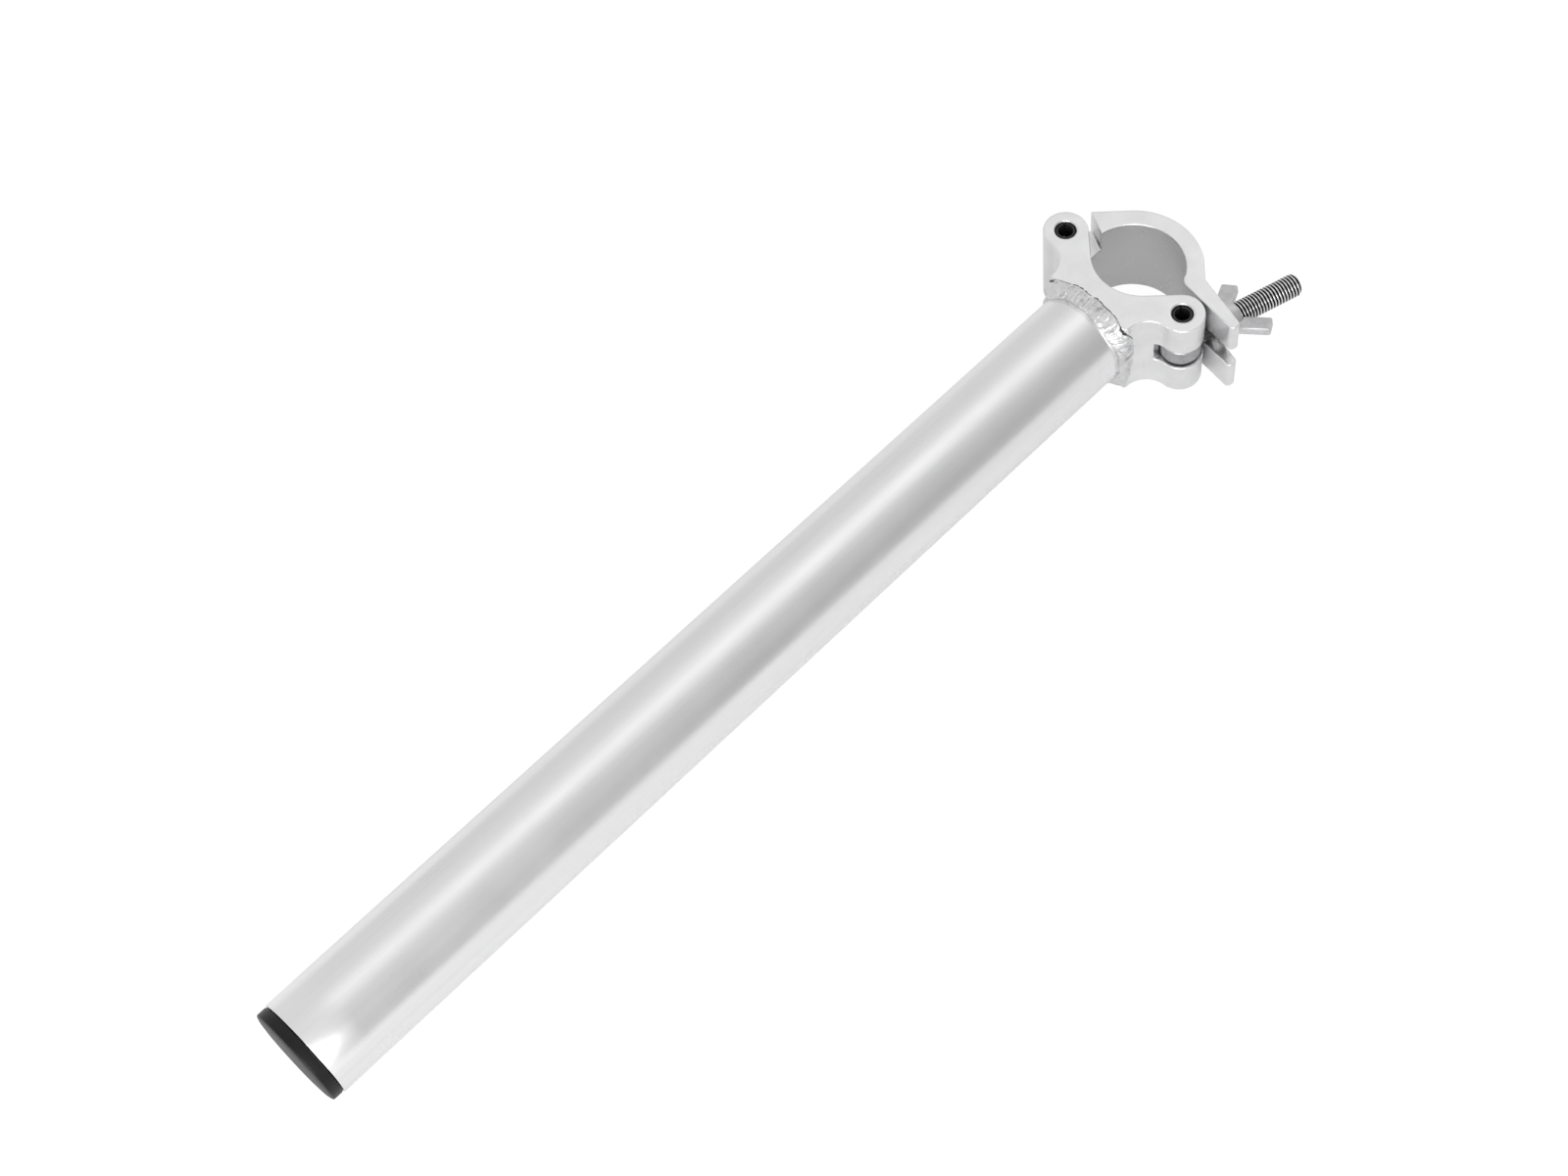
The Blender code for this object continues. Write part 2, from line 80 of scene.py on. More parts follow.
GAP = 0.3
HALF_WIDTH = BODY_HIGH.z
HINGE = Vector(JOINTS["jaw_hinge"]["pos_m"][:2]) / MM
BOLT_PIN = Vector(JOINTS["bolt_swing"]["pos_m"][:2]) / MM
BOLT_AXIS = Vector(JOINTS["nut_travel"]["axis"])
BOLT_ANGLE = math.atan2(BOLT_AXIS.y, BOLT_AXIS.x)
EAR_RADIUS = BODY_HIGH.y - HINGE.y
PIN_RADIUS = (PIN_HIGH.x - PIN_LOW.x) / 2
HOLE_RADIUS = PIN_RADIUS + GAP
TUBE_RADIUS = TUBE_HIGH.z
FOOT_END_X = BODY_LOW.x
FOOT_HALF_WIDTH = 25.0
FOOT_CORNER_RADIUS = 1.6
FOOT_CORNER_RUN = 9
GROOVE_RADIUS = HINGE.y - FOOT_HALF_WIDTH
EDGE_CHAMFER = 0.3
HOLE_CHAMFER = 0.7

# Jaw: drawn where it grips a full-size pipe, then closed onto its stop
BORE_RADIUS = 25.2
JAW_CLOSING = math.radians(11.7)
JAW_WALL = 9.2
SHOULDER_ANGLE = math.radians(93.0)
BROW_ANGLE = math.radians(56.0)
SHOULDER_DISTANCE = 15.3
SHOULDER_LEAN = math.radians(73.0)
PEAK_RADIUS = 0.6
CHEEK_ANGLE = math.radians(-28.0)
NOSE_CORNER_ANGLE = math.radians(-49.0)
NOSE_INNER_X = 12.6
NOSE_SLANT = 2.0
NOSE_TIP_Y = -58.5
NOSE_ROOT = Vector((22.8, -27.0))
NOSE_ROOT_RADIUS = 1.5
NOSE_CORNER_DROP = 1.5
FLANK_ANGLE = math.radians(-4.9)
NOSE_CORNER_RADIUS = 5.5
NOSE_TIP_RADIUS = 2.4
NOSE_SLOT_WIDTH = 13.0
NOSE_SLOT_END_Y = -30.0
SLOT_SIDE_OVERRUN = 8
SLOT_TIP_OVERRUN = 5

# The hinge's tongue on the jaw, and the slot between the body's cheeks that takes it
TONGUE_WIDTH = 24.4
TONGUE_EYE_RADIUS = 9.0
TONGUE_CLEARANCE = 0.5
TONGUE_EDGE = 0.4
TONGUE_INSET = 2
TONGUE_LOW_ANGLE = math.radians(62)
TONGUE_HIGH_ANGLE = math.radians(70)
TONGUE_EYE_ARC = (math.radians(60), math.radians(215))
TONGUE_SEAT_ARC = (math.radians(111), math.radians(86))
CHEEK_SLOT_START = math.radians(-118)
CHEEK_SLOT_BACK = math.radians(100)
CHEEK_SLOT_END = math.radians(242)

# Spring pins
PIN_WALL = 1.3
PIN_SLIT = 1.3
PIN_EDGE = 0.5
PIN_MOUTH = 0.15
PIN_SLIT_FACING = math.radians(52)

# Swing bolt, and the slot in its ear
EAR_SLOT_WIDTH = 12.6
EYE_RADIUS = 10.2
EYE_CLEARANCE = 0.5
EYE_WIDTH = 9.4
EYE_EDGE = 0.7
EAR_SLOT_WALL = 6.5
EAR_SLOT_OVERRUN = 30
SHANK_RADIUS = 5.2
SHANK_ROOT = 1.6
SHANK_END = 14.5
THREAD_RADIUS = 5.9
THREAD_PITCH = 1.75
THREAD_DEPTH = 0.95
THREAD_START = 17.0
THREAD_RUN_IN = 3.0
THREAD_STATIONS = 10
BOLT_REACH = 68.3
BOLT_END_CHAMFER = 1.3
BOLT_TIP_SHARE = 0.55

# Washer and wing nut
WASHER_RADIUS = 12.0
WASHER_HOLE_RADIUS = 6.5
WASHER_THICKNESS = 2.5
WASHER_EDGE = 0.35
WASHER_EASE = 0.12
WASHER_MOUTH = 0.15
NUT_HOLE_RADIUS = 6.2
HUB_RADIUS = 10.0
HUB_TOP_RADIUS = 8.8
HUB_HEIGHT = 8.3
HUB_EDGE = 0.8
SINK_DEPTH = 0.9
SINK_FLARE = 1.3
WING_BASE = (3.6, 5.5)
WING_TIP = (17.6, 18.6)
WING_WIDTH = 8.6
WING_THICKNESS = 4.6
WING_CORNER_RADIUS = 1.2
WING_EDGE = 0.4
WING_ROLL = math.radians(165.0)

# Tube and plug. The dome is given as (rise from the face, radius)
TUBE_WALL = 3.0
TUBE_EDGE = 0.4
TUBE_SPANS = 24
TUBE_OVERLAP = 0.9
PLUG_FLANGE = 6.2
PLUG_AXIS_HOLE = 0.5
PLUG_DOME = (
    (0.02, PLUG_AXIS_HOLE),
    (0.02, 13.5),
    (0.22, 18.6),
    (0.55, 22.0),
    (0.90, 23.4),
    (1.02, 23.8),
    (1.2, 24.1),
)
PLUG_RIM_START = 1.45
PLUG_RIM_EASE = 0.08
PLUG_RIM = 1.8
PLUG_SEAT_EDGE = 0.4
PLUG_RIB_COUNT = 4
PLUG_RIB_HEIGHT = 1.2
PLUG_RIB_START = 2
PLUG_RIB_PITCH = 4.5
PLUG_RIB_CREST = 1.2
PLUG_RIB_FOOT = 2.0
PLUG_WALL = 2.4

# Weld bead: where it lies along the tube, how far it swells, and the pitch of its ripples
WELD_FRONT = 5.6
WELD_FRONT_FAR = 2.2
WELD_FRONT_WANDER = 0.9
WELD_BACK = 8.2
WELD_BACK_WANDER = 1.5
WELD_FACE_SPAN = math.radians(42)
WELD_SLOPE = 7.0
WELD_CORNER = 1.2
WELD_CORNER_REACH = 33.2
WELD_SUNK = 0.3
WELD_PITCH = 3.3
WELD_RIPPLE = 0.75
WELD_LUMPS = 0.60
WELD_SWELL = 0.50
WELD_BAND_SWELL = 0.55
WELD_BAND_START = 0.80
WELD_BAND_FADE = 0.10

# Fineness: steps round a turned shape, and the grid that eases a casting
ARC_STEP = math.radians(3.0)
VOXEL = 0.48
EYE_VOXEL = 0.35
NUT_VOXEL = 0.3
BOLT_STEPS = 64
ROOT_STEPS = 48
CUTTER_STEPS = 64
NUT_STEPS = 96
WASHER_STEPS = 120
PLUG_STEPS = 144
TUBE_STEPS = 192
WELD_AROUND, WELD_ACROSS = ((1100, 60))

# ---------------------------------------------------------------- shape tools


def polar(radius, angle, centre=(0.0, 0.0)):
    return Vector((centre[0] + radius * math.cos(angle), centre[1] + radius * math.sin(angle)))


def arc(centre, radius, start, end):
    count = max(2, math.ceil(abs(end - start) / ARC_STEP - 1e-6))
    return [polar(radius, start + (end - start) * i / count, centre) for i in range(count + 1)]


def rounded(before, corner, after, radius):
    """The arc that rounds the corner between two straight runs."""
    into = (before - corner).normalized()
    out = (after - corner).normalized()
    half = into.angle(out) / 2
    centre = corner + (into + out).normalized() * radius / math.sin(half)
    first = corner + into * radius / math.tan(half) - centre
    last = corner + out * radius / math.tan(half) - centre
    start = math.atan2(first.y, first.x)
    return arc(centre, radius, start, start - first.angle_signed(last))


def without_repeats(points):
    kept = []
    for point in points:
        if not kept or (point - kept[-1]).length > 1e-4:
            kept.append(point)
    if (kept[0] - kept[-1]).length < 1e-4:
        kept.pop()
    return kept


def inset(outline, depth):
    """The outline moved into its own material by depth; it runs anticlockwise."""
    moved = []
    for i, point in enumerate(outline):
        before = (point - outline[i - 1]).normalized()
        after = (outline[(i + 1) % len(outline)] - point).normalized()
        normal = Vector((-before.y - after.y, before.x + after.x)).normalized()
        lean = max(0.5, normal.dot(Vector((-before.y, before.x))))
        moved.append(point + normal * depth / lean)
    return moved


def mesh_object(name, bm, smooth=40):
    """The mesh as an object in metres, smooth-shaded up to this angle (0: everywhere)."""
    bmesh.ops.recalc_face_normals(bm, faces=bm.faces)
    mesh = bpy.data.meshes.new(name)
    bm.to_mesh(mesh)
    bm.free()
    mesh.transform(Matrix.Scale(MM, 4))
    mesh.shade_smooth()
    if smooth:
        mesh.set_sharp_from_angle(angle=math.radians(smooth))
    made = bpy.data.objects.new(name, mesh)
    bpy.context.scene.collection.objects.link(made)
    return made


def lofted(name, rings, closed=False, smooth=40):
    """A solid through rings of equally many points: capped at both ends, or joined up."""
    bm = bmesh.new()
    loops = [[bm.verts.new(point) for point in ring] for ring in rings]
    pairs = list(zip(loops, loops[1:]))
    if closed:
        pairs.append((loops[-1], loops[0]))
    for lower, upper in pairs:
        for i in range(len(lower)):
            bm.faces.new((lower[i - 1], lower[i], upper[i], upper[i - 1]))
    if not closed:
        bm.faces.new(loops[0])
        bm.faces.new(loops[-1])
    return mesh_object(name, bm, smooth)


def prism(name, outline, low, high, chamfer=0.0):
    """An outline raised along Z, with both rims chamfered."""
    outline = without_repeats(outline)
    layers = [(outline, low), (outline, high)]
    if chamfer:
        small = inset(outline, chamfer)
        layers = [
            (small, low),
            (outline, low + chamfer),
            (outline, high - chamfer),
            (small, high),
        ]
    return lofted(name, [[(p.x, p.y, z) for p in points] for points, z in layers])


def circle_ring(along, radius, steps):
    turns = [math.tau * i / steps for i in range(steps)]
    return [(along, radius * math.cos(a), radius * math.sin(a)) for a in turns]


def turned(name, profile, steps=160, closed=False, smooth=40):
    """A profile of (along, radius) points turned about the X axis."""
    return lofted(name, [circle_ring(x, r, steps) for x, r in profile], closed, smooth)


def place(made, position, rotation=None):
    """Turns and moves a shape drawn about the origin to its place, in millimetres."""
    turn = (rotation or Matrix.Identity(3)).to_4x4()
    made.data.transform(Matrix.Translation(Vector(position) * MM) @ turn)


def boolean(target, other, operation):
    """Adds or cuts the other shape, and removes it."""
    modifier = target.modifiers.new(operation.title(), "BOOLEAN")
    modifier.operation = operation
    modifier.object = other
    bpy.context.view_layer.update()
    graph = bpy.context.evaluated_depsgraph_get()
    result = bpy.data.meshes.new_from_object(target.evaluated_get(graph))
    target.modifiers.clear()
    target.data = result
    bpy.data.objects.remove(other, do_unlink=True)


def softened(made, voxel, passes):
    """Turns sharp modelling into a tumbled casting: small even faces, edges eased by smoothing."""
    remesh = made.modifiers.new("Remesh", "REMESH")
    remesh.mode = "VOXEL"
    remesh.voxel_size = voxel * MM
    ease = made.modifiers.new("Ease", "SMOOTH")
    ease.factor = 0.5
    ease.iterations = passes
    bpy.context.view_layer.update()
    graph = bpy.context.evaluated_depsgraph_get()
    result = bpy.data.meshes.new_from_object(made.evaluated_get(graph))
    made.modifiers.clear()
    made.data = result
    made.data.shade_smooth()


def bored_hole(name, centre, radius, half_length, chamfer=HOLE_CHAMFER):
    """A cutter along Z whose ends open out by the chamfer."""
    stations = [
        (-half_length - chamfer, radius + 2 * chamfer),
        (-half_length + chamfer, radius),
        (half_length - chamfer, radius),
        (half_length + chamfer, radius + 2 * chamfer),
    ]
    rings = []
    for z, r in stations:
        rings.append([(p.x, p.y, z) for p in arc(centre, r, 0, math.tau)[:-1]])
    return lofted(name, rings)


# ---------------------------------------------------------------- materials


def new_material(name):
    material = bpy.data.materials.new(name)
    material.use_nodes = True
    return material, material.node_tree.nodes, material.node_tree.links


def new_metal(name):
    material, nodes, links = new_material(name)
    nodes["Principled BSDF"].inputs["Metallic"].default_value = 1.0
    return material, nodes, links


def add_noise(nodes, links, vector, scale, detail=4.0, roughness=0.5):
    node = nodes.new("ShaderNodeTexNoise")
    node.inputs["Scale"].default_value = scale
    node.inputs["Detail"].default_value = detail
    node.inputs["Roughness"].default_value = roughness
    links.new(vector, node.inputs["Vector"])
    return node.outputs["Fac"]


def stretched(nodes, links, scale):
    coords = nodes.new("ShaderNodeTexCoord")
    mapping = nodes.new("ShaderNodeMapping")
    mapping.inputs["Scale"].default_value = scale
    links.new(coords.outputs["Object"], mapping.inputs["Vector"])
    return mapping.outputs["Vector"]


def ramp(nodes, links, value, stops):
    node = nodes.new("ShaderNodeValToRGB")
    elements = node.color_ramp.elements
    while len(elements) < len(stops):
        elements.new(0.5)
    for element, (position, colour) in zip(elements, stops):
        element.position = position
        element.color = (colour, colour, colour, 1) if isinstance(colour, float) else (*colour, 1)
    links.new(value, node.inputs["Fac"])
    return node.outputs["Color"]


def add_bump(nodes, links, height, strength, distance, before=None):
    node = nodes.new("ShaderNodeBump")
    node.inputs["Strength"].default_value = strength
    node.inputs["Distance"].default_value = distance * MM
    links.new(height, node.inputs["Height"])
    if before:
        links.new(before, node.inputs["Normal"])
    return node.outputs["Normal"]


def vector_math(nodes, links, operation, vector, by=None):
    node = nodes.new("ShaderNodeVectorMath")
    node.operation = operation
    links.new(vector, node.inputs[0])
    if by is not None:
        node.inputs[1].default_value = by
    return node


def share_of(nodes, links, vector, low, high):
    """How far the vector's length, in millimetres, is from low to high."""
    length = vector_math(nodes, links, "LENGTH", vector)
    node = nodes.new("ShaderNodeMapRange")
    node.inputs["From Min"].default_value = low * MM
    node.inputs["From Max"].default_value = high * MM
    links.new(length.outputs["Value"], node.inputs["Value"])
    return node.outputs["Result"]


def cast_aluminium(name, seat_centre):
    """Cast aluminium, tumbled bright: fine pebbling, faint clouding, a cleaner bored pipe seat."""
    material, nodes, links = new_metal(name)
    shader = nodes["Principled BSDF"]
    even = stretched(nodes, links, (1, 1, 1))
    cloud = add_noise(nodes, links, even, 90, 3)
    tumbled = ramp(nodes, links, cloud, [(0.3, (0.775, 0.775, 0.78)), (0.7, (0.84, 0.84, 0.845))])
    coords = nodes.new("ShaderNodeTexCoord").outputs["Object"]
    centre = (seat_centre.x * MM, seat_centre.y * MM, 0)
    offset = vector_math(nodes, links, "SUBTRACT", coords, centre)
    flat = vector_math(nodes, links, "MULTIPLY", offset.outputs[0], (1, 1, 0))
    outside = share_of(nodes, links, flat.outputs[0], BORE_RADIUS + 0.15, BORE_RADIUS + 0.45)
    bored = nodes.new("ShaderNodeMix")
    bored.data_type = "RGBA"
    bored.inputs["A"].default_value = (0.89, 0.89, 0.89, 1)
    links.new(tumbled, bored.inputs["B"])
    links.new(outside, bored.inputs["Factor"])
    links.new(bored.outputs["Result"], shader.inputs["Base Color"])
    grain = add_noise(nodes, links, even, 900, 3)
    links.new(ramp(nodes, links, grain, [(0.3, 0.27), (0.75, 0.37)]), shader.inputs["Roughness"])
    pebbles = add_bump(nodes, links, add_noise(nodes, links, even, 420, 2), 0.20, 0.05)
    links.new(add_bump(nodes, links, grain, 0.15, 0.02, pebbles), shader.inputs["Normal"])
    return material


def tube_aluminium(name):
    """Drawn tube: fine lengthwise lines, broad faint bands and a cloudy sheen."""
    material, nodes, links = new_metal(name)
    shader = nodes["Principled BSDF"]
    lines = add_noise(nodes, links, stretched(nodes, links, (6, 900, 900)), 1.0, 3)
    broad = add_noise(nodes, links, stretched(nodes, links, (3, 120, 120)), 1.0, 2)
    cloud = add_noise(nodes, links, stretched(nodes, links, (1, 1, 1)), 28, 4)
    mixed = nodes.new("ShaderNodeMath")
    mixed.operation = "MULTIPLY_ADD"
    mixed.inputs[1].default_value = 0.5
    links.new(lines, mixed.inputs[0])
    links.new(broad, mixed.inputs[2])
    stops = [(0.45, (0.82, 0.82, 0.83)), (1.0, (0.89, 0.89, 0.895))]
    links.new(ramp(nodes, links, mixed.outputs[0], stops), shader.inputs["Base Color"])
    links.new(ramp(nodes, links, cloud, [(0.3, 0.25), (0.7, 0.33)]), shader.inputs["Roughness"])
    links.new(add_bump(nodes, links, lines, 0.10, 0.02), shader.inputs["Normal"])
    return material


def weld_aluminium(name):
    """Bead metal: sooty clouding, and painted shade as dark lines along its edges, by each point's
    share across it.
    """
    material, nodes, links = new_metal(name)
    shader = nodes["Principled BSDF"]
    even = stretched(nodes, links, (1, 1, 1))
    soot = add_noise(nodes, links, even, 170, 5, 0.6)
    stops = [(0.30, (0.40, 0.40, 0.41)), (0.42, (0.68, 0.68, 0.69)), (0.7, (0.83, 0.83, 0.83))]
    metal = ramp(nodes, links, soot, stops)
    # painted shade: a dark line where the bead meets the casting, and a fainter one where its ripples
    # end
    share = nodes.new("ShaderNodeAttribute")
    share.attribute_name = "share"
    dark, faint, light = 0.10, 0.72, 1.0
    stops = [(0.0, dark), (0.055, dark), (0.09, light), (0.74, light), (0.79, faint), (0.84, light)]
    painted_seam_shade = ramp(nodes, links, share.outputs["Fac"], stops)
    tint = nodes.new("ShaderNodeMix")
    tint.data_type = "RGBA"
    tint.blend_type = "MULTIPLY"
    tint.inputs["Factor"].default_value = 1.0
    links.new(metal, tint.inputs["A"])
    links.new(painted_seam_shade, tint.inputs["B"])
    links.new(tint.outputs["Result"], shader.inputs["Base Color"])
    grain = add_noise(nodes, links, even, 700, 4, 0.6)
    links.new(ramp(nodes, links, grain, [(0.3, 0.28), (0.7, 0.46)]), shader.inputs["Roughness"])
    links.new(add_bump(nodes, links, grain, 0.35, 0.08), shader.inputs["Normal"])
    return material


def steel(name, dark, light, rough_low, rough_high, scale=500):
    """Zinc-plated or bare steel: cloudy plating between two shades, and a fine grain."""
    material, nodes, links = new_metal(name)
    shader = nodes["Principled BSDF"]
    even = stretched(nodes, links, (1, 1, 1))
    cloud = add_noise(nodes, links, even, scale, 4)
    links.new(ramp(nodes, links, cloud, [(0.3, dark), (0.7, light)]), shader.inputs["Base Color"])
    grain = add_noise(nodes, links, even, scale * 2.4, 3)
    sheen = ramp(nodes, links, grain, [(0.3, rough_low), (0.7, rough_high)])
    links.new(sheen, shader.inputs["Roughness"])
    links.new(add_bump(nodes, links, grain, 0.2, 0.03), shader.inputs["Normal"])
    return material


def rolled_thread(name):
    """Plated thread, by distance from the axis: bright crests, dark flanks and nearly black roots, the
    darkening partly the metal's own tone and mostly painted shade.
    """
    material, nodes, links = new_metal(name)
    shader = nodes["Principled BSDF"]
    coords = nodes.new("ShaderNodeTexCoord").outputs["Object"]
    offset = vector_math(nodes, links, "SUBTRACT", coords, (*(BOLT_PIN * MM), 0))
    across = vector_math(nodes, links, "CROSS_PRODUCT", offset.outputs[0], BOLT_AXIS)
    root = THREAD_RADIUS - THREAD_DEPTH
    height = share_of(nodes, links, across.outputs[0], root, THREAD_RADIUS)
    # painted shade: flanks and roots darken with depth below the crest, down to nearly black at the
    # root
    stops = [(0.0, 0.02), (0.55, 0.10), (0.86, (0.24, 0.24, 0.245)), (0.97, 0.80)]
    links.new(ramp(nodes, links, height, stops), shader.inputs["Base Color"])
    grain = add_noise(nodes, links, stretched(nodes, links, (1, 1, 1)), 900, 3)
    links.new(ramp(nodes, links, grain, [(0.3, 0.20), (0.7, 0.30)]), shader.inputs["Roughness"])
    return material


def black_oxide(name):
    """Blackened spring steel, a little worn."""
    material, nodes, links = new_material(name)
    shader = nodes["Principled BSDF"]
    shader.inputs["Metallic"].default_value = 0.3
    even = stretched(nodes, links, (1, 1, 1))
    cloud = add_noise(nodes, links, even, 600, 3)
    stops = [(0.3, (0.012, 0.012, 0.012)), (0.8, (0.034, 0.034, 0.036))]
    links.new(ramp(nodes, links, cloud, stops), shader.inputs["Base Color"])
    links.new(ramp(nodes, links, cloud, [(0.3, 0.30), (0.7, 0.45)]), shader.inputs["Roughness"])
    return material


def black_plastic(name):
    """Moulded black plastic with a faint spark-eroded grain."""
    material, nodes, links = new_material(name)
    shader = nodes["Principled BSDF"]
    even = stretched(nodes, links, (1, 1, 1))
    cloud = add_noise(nodes, links, even, 120, 3)
    stops = [(0.3, (0.005, 0.005, 0.005)), (0.7, (0.010, 0.010, 0.0105))]
    links.new(ramp(nodes, links, cloud, stops), shader.inputs["Base Color"])
    grain = add_noise(nodes, links, even, 1500, 2)
    links.new(ramp(nodes, links, grain, [(0.3, 0.36), (0.7, 0.48)]), shader.inputs["Roughness"])
    shader.inputs["Specular IOR Level"].default_value = 0.25
    links.new(add_bump(nodes, links, grain, 0.3, 0.03), shader.inputs["Normal"])
    return material


# ---------------------------------------------------------------- castings


def body_half_outline():
    """The side with the hinge: seat, ear, groove and foot, anticlockwise."""
    touch = math.atan2(HINGE.y, HINGE.x) + math.acos((BORE_RADIUS + EAR_RADIUS) / HINGE.length)
    groove = Vector((HINGE.x - EAR_RADIUS - GROOVE_RADIUS, HINGE.y))
    foot_corner = Vector((FOOT_END_X, FOOT_HALF_WIDTH))
    points = arc((0, 0), BORE_RADIUS, math.pi, touch)
    points += arc(HINGE, EAR_RADIUS, touch - math.pi, math.pi)
    points += arc(groove, GROOVE_RADIUS, 0, -math.pi / 2)
    before = foot_corner + Vector((FOOT_CORNER_RUN, 0))
    after = foot_corner - Vector((0, FOOT_CORNER_RUN))
    points += rounded(before, foot_corner, after, FOOT_CORNER_RADIUS)
    return points


def body_casting():
    upper = body_half_outline()
    lower = [Vector((p.x, -p.y)) for p in reversed(upper)]
    body = prism("body_casting", lower + upper, -HALF_WIDTH, HALF_WIDTH, EDGE_CHAMFER)
    reach = HINGE.length - BORE_RADIUS + TONGUE_CLEARANCE
    snug = TONGUE_EYE_RADIUS + TONGUE_CLEARANCE
    wedge = arc(HINGE, reach, CHEEK_SLOT_START, CHEEK_SLOT_BACK)
    wedge += arc(HINGE, snug, CHEEK_SLOT_BACK, CHEEK_SLOT_END)
    half = TONGUE_WIDTH / 2 + GAP
    boolean(body, prism("cut", wedge, -half, half), "DIFFERENCE")

    pocket = EYE_RADIUS + EYE_CLEARANCE
    lift = math.asin(EAR_SLOT_WALL / pocket)
    slot = arc(BOLT_PIN, pocket, lift, math.pi - lift)
    far = EAR_SLOT_OVERRUN
    for corner in ((-far, EAR_SLOT_WALL), (-far, -far), (far, -far), (far, EAR_SLOT_WALL)):
        slot.append(BOLT_PIN + Vector(corner))
    half = EAR_SLOT_WIDTH / 2
    boolean(body, prism("cut", slot, -half, half), "DIFFERENCE")

    for centre in (HINGE, BOLT_PIN):
        boolean(body, bored_hole("cut", centre, HOLE_RADIUS, HALF_WIDTH), "DIFFERENCE")
    softened(body, VOXEL, 2)
    return body


def jaw_outline():
    """The full-width part of the jaw, gripping a full-size pipe, anticlockwise."""
    outer = BORE_RADIUS + JAW_WALL
    slope = math.tan(FLANK_ANGLE)
    tip_outer = Vector((NOSE_ROOT.x + slope * (NOSE_ROOT.y - NOSE_TIP_Y), NOSE_TIP_Y))
    tip_inner = Vector((NOSE_INNER_X + NOSE_SLANT, NOSE_TIP_Y))
    seat_end = polar(BORE_RADIUS, NOSE_CORNER_ANGLE)
    corner = Vector((NOSE_INNER_X, seat_end.y - NOSE_CORNER_DROP))
    brow = polar(outer, BROW_ANGLE)
    along = Vector((-math.sin(BROW_ANGLE), math.cos(BROW_ANGLE)))
    shoulder = Vector((math.cos(SHOULDER_LEAN), math.sin(SHOULDER_LEAN)))
    sideways = Vector((shoulder.y, -shoulder.x))
    base = HINGE + sideways * SHOULDER_DISTANCE
    run = (base - brow).cross(shoulder) / along.cross(shoulder)
    peak = brow + along * run
    foot = polar(BORE_RADIUS, SHOULDER_ANGLE)
    points = rounded(tip_inner + Vector((0, 20)), tip_inner, tip_outer, NOSE_TIP_RADIUS)
    points += rounded(tip_inner, tip_outer, NOSE_ROOT, NOSE_TIP_RADIUS)
    points += rounded(tip_outer, NOSE_ROOT, polar(outer, CHEEK_ANGLE), NOSE_ROOT_RADIUS)
    points += arc((0, 0), outer, CHEEK_ANGLE, BROW_ANGLE)
    points += rounded(brow, peak, foot, PEAK_RADIUS)
    points += arc((0, 0), BORE_RADIUS, SHOULDER_ANGLE, NOSE_CORNER_ANGLE)
    points += rounded(seat_end, corner, tip_inner, NOSE_CORNER_RADIUS)
    return points


def tongue_outline():
    outer = BORE_RADIUS + JAW_WALL
    points = [
        polar(BORE_RADIUS + TONGUE_INSET, TONGUE_LOW_ANGLE),
        polar(outer - TONGUE_INSET, TONGUE_HIGH_ANGLE),
    ]
    points += arc(HINGE, TONGUE_EYE_RADIUS, *TONGUE_EYE_ARC)
    points += arc((0, 0), BORE_RADIUS, *TONGUE_SEAT_ARC)
    return points


def jaw_casting():
    jaw = prism("jaw_casting", jaw_outline(), -HALF_WIDTH, HALF_WIDTH, EDGE_CHAMFER)
    half_tongue = TONGUE_WIDTH / 2
    tongue = prism("add", tongue_outline(), -half_tongue, half_tongue, TONGUE_EDGE)
    boolean(jaw, tongue, "UNION")
    half = NOSE_SLOT_WIDTH / 2
    left, right = NOSE_INNER_X - SLOT_SIDE_OVERRUN, NOSE_ROOT.x + SLOT_SIDE_OVERRUN
    tip_y = NOSE_TIP_Y - SLOT_TIP_OVERRUN
    slot = [
        Vector((left, tip_y)),
        Vector((right, tip_y)),
        Vector((right, NOSE_SLOT_END_Y)),
        Vector((left, NOSE_SLOT_END_Y)),
    ]
    boolean(jaw, prism("cut", slot, -half, half), "DIFFERENCE")
    boolean(jaw, bored_hole("cut", HINGE, HOLE_RADIUS, half_tongue), "DIFFERENCE")
    softened(jaw, VOXEL, 2)
    hinge = Vector((*HINGE, 0)) * MM
    turn = Matrix.Rotation(-JAW_CLOSING, 4, "Z")
    jaw.data.transform(Matrix.Translation(hinge) @ turn @ Matrix.Translation(-hinge))
    return jaw


# ---------------------------------------------------------------- pins, bolt, washer and nut


def spring_pin(name, centre):
    """A rolled spring pin: bevelled ends, a narrow slit, hollow right through."""
    half_slit = math.asin(PIN_SLIT / 2 / PIN_RADIUS)
    first, last = half_slit + PIN_SLIT_FACING, math.tau - half_slit + PIN_SLIT_FACING
    half = (PIN_HIGH.z - PIN_LOW.z) / 2
    bore = PIN_RADIUS - PIN_WALL
    rings = []
    for z, outer, inner in (
        (-half, PIN_RADIUS - PIN_EDGE, bore + PIN_MOUTH),
        (-half + PIN_EDGE, PIN_RADIUS, bore),
        (half - PIN_EDGE, PIN_RADIUS, bore),
        (half, PIN_RADIUS - PIN_EDGE, bore + PIN_MOUTH),
    ):
        points = arc((0, 0), outer, first, last) + arc((0, 0), inner, last, first)
        rings.append([(p.x, p.y, z) for p in points])
    pin = lofted(name, rings)
    place(pin, (*centre, 0))
    return pin


def bolt_turn(roll=0.0):
    """Turns a shape drawn along X into the bolt's direction, after rolling it about its axis."""
    return Matrix.Rotation(BOLT_ANGLE, 3, "Z") @ Matrix.Rotation(roll, 3, "X")


